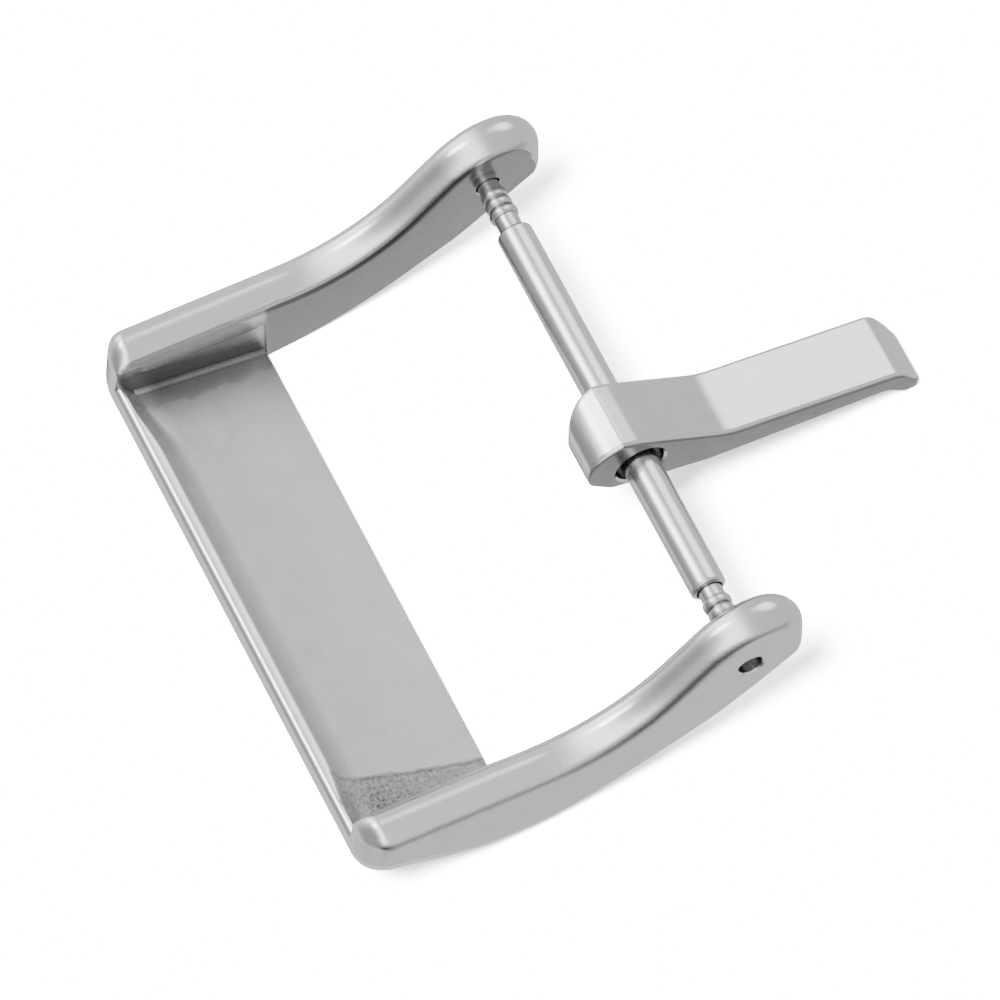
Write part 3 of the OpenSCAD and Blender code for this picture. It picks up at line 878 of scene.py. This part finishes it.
def plate_metal():
    """The satin plate: brushed along its length, darker in a band by the far arm and as cast at the near
    one. Its tone is painted shading: pale at the rim's foot, with a painted dark line along the near arm
    and painted shade in the corner by the rim.
    """
    steel = Steel("steel_plate_satin")
    x = steel.axis("X")
    y = steel.axis("Y")
    wave = steel.scaled(steel.noise(0.8), 0.5, -0.25)
    edge_y = steel.add(steel.scaled(x, 0.165, y), wave)
    cast = steel.step(edge_y, -10.72, -10.92)
    # A thin painted dark line where the near arm's dome meets the plate, standing in for the shade there.
    line = steel.times(steel.step(edge_y, -10.66, -10.76), steel.step(edge_y, -10.96, -10.84))
    # heel darkens the corner by the rim and the near arm as painted shade, and coarsens the grit there.
    heel = steel.step(steel.scaled(x, 0.6, steel.add(y, wave)), -16.6, -19.0)
    grit = steel.noise(7.0, detail=6, rough=0.8)
    speck = steel.step(steel.noise(11.0, detail=2, shift=(2, 5, 1)), 0.56, 0.68)
    fine = steel.noise(24, rough=0.6)
    brushed = steel.noise(9, (1, 0.06, 1), detail=4, rough=0.6)
    cloud = steel.noise(0.9, shift=(4, 2, 0))
    far_wave = steel.scaled(steel.noise(1.3, detail=4), 1.2, -0.6)
    # A darker band along the far arm.
    far_arm_darkening = steel.step(steel.add(y, far_wave), 10.0, 10.35)
    seam = steel.step(y, 10.8, 10.98)

    # Painted shading across the plate: pale at the rim's foot, darker from there, and a little paler
    # again towards the free edge.
    light = steel.add(steel.step(x, -15.6, -14.5, 0.62, 0.38), steel.step(x, -14.2, -10.5, 0.0, 0.05))
    light = steel.add(light, steel.scaled(cloud, 0.10, -0.05))
    swing = steel.scaled(cast, 0.9, steel.scaled(heel, 0.3, 0.10))
    colour = steel.scaled(steel.less(grit, 0.5), swing, light)
    for mark, depth in ((far_arm_darkening, 0.10), (seam, 0.1), (cast, 0.07), (heel, 0.10), (line, 0.14)):
        colour = steel.less(colour, steel.times(mark, depth))
    colour = steel.less(colour, steel.times(steel.times(cast, speck), 0.06), clamp=True)
    roughness = steel.scaled(cast, 0.12, steel.scaled(brushed, 0.08, 0.44))
    lumps = steel.times(steel.times(grit, cast), 4.0)
    steel.bump(steel.add(lumps, steel.scaled(brushed, 0.35, steel.times(fine, 0.25))), 0.6)
    return steel.surface(colour, roughness)


def inner_shaded_metal():
    """The arms' inner walls in painted shade: pale above the pocket and darker lower down, and an even,
    darker grey past the plate.
    """
    steel = Steel("steel_inner_shaded")
    cloud = steel.noise(1.1)
    # All of this tone is painted shade for the inside of the buckle.
    above_pocket = steel.step(steel.axis("Z"), -3.75, -2.9, 0.3, 0.68)
    past_plate = steel.step(steel.axis("X"), PLATE_X - 0.15, PLATE_X + 0.15)
    beside = steel.times(steel.less(1.0, past_plate), above_pocket)
    colour = steel.add(beside, steel.times(past_plate, 0.28))
    steel.bump(cloud, 0.2)
    return steel.surface(steel.scaled(cloud, 0.05, steel.less(colour, 0.025)), 0.2)


def pocket_shade_metal():
    """The pocket's back, dark as painted shade and streaked; the painted shade lifts towards its top and
    near the plate's free edge.
    """
    steel = Steel("steel_pocket_shade")
    z = steel.axis("Z")
    x = steel.axis("X")
    streak = steel.noise(1.6, (0.5, 1, 3), detail=4, rough=0.6)
    wave = steel.scaled(streak, 0.2, -0.1)
    # The pocket's darkness and its paler top and end are painted shade.
    above = steel.step(steel.add(steel.scaled(x, 0.3, z), wave), -8.3, -7.4, 0.2, 0.45)
    end = steel.step(steel.scaled(z, 0.4, steel.add(x, wave)), -12.4, -11.9, 0.0, 0.2)
    colour = steel.add(steel.scaled(streak, 0.08, -0.04), steel.add(above, end))
    steel.bump(streak, 0.3)
    return steel.surface(colour, 0.34)


ALONG_ARM = (0.06, 1, 1)
ALONG_TONGUE = (0.08, 1, 1)
ALONG_TUBE = (1, 0.06, 1)
# The domes get a paler base than the flats, as painted light, and a darker tone on the lug, as painted
# shade.
dome_mat = polished("steel_dome", 0.76, 0.17, 0.45, ALONG_ARM, lug=-0.14)
wall_mat = polished("steel_flats", 0.61, 0.17, 0.2, ALONG_ARM)
plate_mat = plate_metal()
inner_shade_mat = inner_shaded_metal()
pocket_shade_mat = pocket_shade_metal()
tongue_mat = polished("steel_tongue", 0.62, 0.15, 0.15, ALONG_TONGUE)
# The tongue's near side has a darker base: painted shade, for the shadow it faces.
tongue_side_shade_mat = polished("steel_tongue_side_shaded", 0.24, 0.2, 0.15, ALONG_TONGUE)
tube_mat = polished("steel_tube", 0.62, 0.22, 0.3, ALONG_TUBE)
pin_mat = polished("steel_pins", 0.5, 0.24, 0.3)
spring_mat = polished("steel_spring", 0.4, 0.3, 0.2)

for obj, mats in (
        (body, (dome_mat, wall_mat, plate_mat, inner_shade_mat, pocket_shade_mat)),
        (tongue, (tongue_mat, tongue_side_shade_mat)), (tube_obj, (tube_mat,)),
        (pin_far, (pin_mat,)), (pin_near, (pin_mat,))):
    for mat in mats:
        obj.data.materials.append(mat)
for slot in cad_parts["bar_spring"].material_slots:
    slot.material = spring_mat

for obj, rides, node, name in (
        (body, "frame", "frame", "frame_steel"), (tongue, "tongue", "tongue", "tongue_steel"),
        (tube_obj, "bar", "bar_tube", "tube_steel"), (pin_far, "pin_far", "bar_pin_far", "pin_steel"),
        (pin_near, "pin_near", "bar_pin_near", "pin_steel")):
    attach(obj, rides)
    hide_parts(node)


# The white floor. The steel doesn't mirror it, so its mirror images come from the sky alone
FLOOR_GAIN = 1.8
FLOOR_HALF = 1.2


def paper_floor(z):
    mat = bpy.data.materials.new("paper")
    mat.use_nodes = True
    tree = mat.node_tree
    tree.nodes.clear()
    out = tree.nodes.new("ShaderNodeOutputMaterial")
    matt = tree.nodes.new("ShaderNodeBsdfDiffuse")
    matt.inputs["Color"].default_value = (FLOOR_GAIN, FLOOR_GAIN, FLOOR_GAIN, 1)
    tree.links.new(matt.outputs[0], out.inputs[0])
    bm = bmesh.new()
    bmesh.ops.create_grid(bm, x_segments=2, y_segments=2, size=FLOOR_HALF)
    bmesh.ops.translate(bm, verts=bm.verts, vec=(0, 0, z))
    obj = as_object("paper_floor", bm)
    obj.data.materials.append(mat)
    obj.visible_glossy = False
    return obj


paper_floor(cad_box[0][2])

# The camera has a long lens and stands above, towards the crossbar and the near arm
CAMERA_BACK = (-0.2044, -0.4295, 0.8797)
CAMERA_RIGHT = (0.9030, -0.4297, 0.0)
CAMERA_TARGET = (-0.00566, -0.00198, 0.0)
CAMERA_FAR = 0.478
SENSOR_W = 36.0
LENS_TO_SENSOR = 12.210


def from_plane(v):
    return Matrix.Rotation(TILT, 3, "Y") @ Vector(v)


def add_camera():
    back = from_plane(CAMERA_BACK).normalized()
    right = from_plane(CAMERA_RIGHT).normalized()
    up = back.cross(right).normalized()
    data = bpy.data.cameras.new("camera")
    data.sensor_fit = "HORIZONTAL"
    data.sensor_width = SENSOR_W
    data.lens = SENSOR_W * LENS_TO_SENSOR
    data.clip_start = 0.01
    data.clip_end = 20
    obj = bpy.data.objects.new("camera", data)
    place = Matrix((right, up, back)).transposed().to_4x4()
    place.translation = from_plane(CAMERA_TARGET) + back * CAMERA_FAR
    obj.matrix_world = place
    bpy.context.scene.collection.objects.link(obj)
    bpy.context.scene.camera = obj


add_camera()

# The key light is there for the soft shadows and isn't mirrored in the steel
KEY_AT = (-0.17, -0.09, 0.6)
KEY_SIZE = 0.22
KEY_POWER = 44.0


def add_key_light():
    data = bpy.data.lights.new("key_above", "AREA")
    data.shape = "RECTANGLE"
    data.size = KEY_SIZE
    data.size_y = KEY_SIZE
    data.energy = KEY_POWER
    obj = bpy.data.objects.new("key_above", data)
    obj.location = KEY_AT
    obj.rotation_euler = (-Vector(KEY_AT)).to_track_quat("-Z", "Y").to_euler()
    obj.visible_glossy = False
    bpy.context.scene.collection.objects.link(obj)


add_key_light()

# A light tent: even pale light all round, with bright windows and dark gaps as (way, degrees, gain, core)
SKY = 1.3
SKY_LEAST = 0.1
SKY_SEEN = 14.0
WINDOW_X = -0.25
WINDOW_GAIN = 3.0
FRONT_Z = -0.42
FRONT_GAIN = -0.65
LEFT_GAIN = -0.75
SKY_LOBES = (
    ((-0.42, 0.43, 0.80), 17, 8.0, 0.15), ((0.62, 0.43, 0.65), 26, 3.0, 0.3),
    ((-0.45, -0.82, -0.35), 42, -0.55, 0.3), ((0.0, 0.55, -0.83), 28, -0.85, 0.3)
)


def light_tent():
    world = bpy.data.worlds.new("studio")
    world.use_nodes = True
    tree = world.node_tree
    tree.nodes.clear()
    out = tree.nodes.new("ShaderNodeOutputWorld")
    background = tree.nodes.new("ShaderNodeBackground")
    way = tree.nodes.new("ShaderNodeTexCoord").outputs["Generated"]
    split = tree.nodes.new("ShaderNodeSeparateXYZ")
    tree.links.new(way, split.inputs[0])
    way_x, way_y, way_z = split.outputs

    def calc(op, a, b=0.0):
        node = tree.nodes.new("ShaderNodeMath")
        node.operation = op
        for i, v in enumerate((a, b)):
            if isinstance(v, float):
                node.inputs[i].default_value = v
            else:
                tree.links.new(v, node.inputs[i])
        return node.outputs[0]

    def ramp(value, start, end, low, high):
        return smooth_step(tree, value, start, end, low, high)

    def lobe(towards, wide, gain, core):
        dot = tree.nodes.new("ShaderNodeVectorMath")
        dot.operation = "DOT_PRODUCT"
        tree.links.new(way, dot.inputs[0])
        dot.inputs[1].default_value = Vector(towards).normalized()
        start = math.cos(math.radians(wide))
        end = math.cos(math.radians(wide * core))
        return ramp(dot.outputs["Value"], start, end, 0.0, gain)

    window = ramp(calc("ABSOLUTE", calc("ADD", way_x, -WINDOW_X)), 0.42, 0.05, 0.0, WINDOW_GAIN)
    window = calc("MULTIPLY", window, ramp(way_z, -0.1, 0.15, 0.0, 1.0))
    front = ramp(calc("ABSOLUTE", calc("ADD", way_z, -FRONT_Z)), 0.24, 0.08, 0.0, FRONT_GAIN)
    front = calc("MULTIPLY", front, ramp(way_y, -0.5, -0.75, 0.0, 1.0))
    left = ramp(way_x, -0.95, -0.6, LEFT_GAIN, 0.0)
    light = calc("ADD", window, SKY)
    for gain in [front, left] + [lobe(*values) for values in SKY_LOBES]:
        light = calc("ADD", light, gain)
    light = calc("MAXIMUM", light, SKY_LEAST)

    # The camera sees plain white behind the floor's edge
    shown = tree.nodes.new("ShaderNodeMix")
    shown.data_type = "FLOAT"
    path = tree.nodes.new("ShaderNodeLightPath")
    tree.links.new(path.outputs["Is Camera Ray"], shown.inputs[0])
    tree.links.new(light, shown.inputs[2])
    shown.inputs[3].default_value = SKY_SEEN
    tree.links.new(shown.outputs[0], background.inputs["Strength"])
    tree.links.new(background.outputs[0], out.inputs[0])
    return world


bpy.context.scene.world = light_tent()
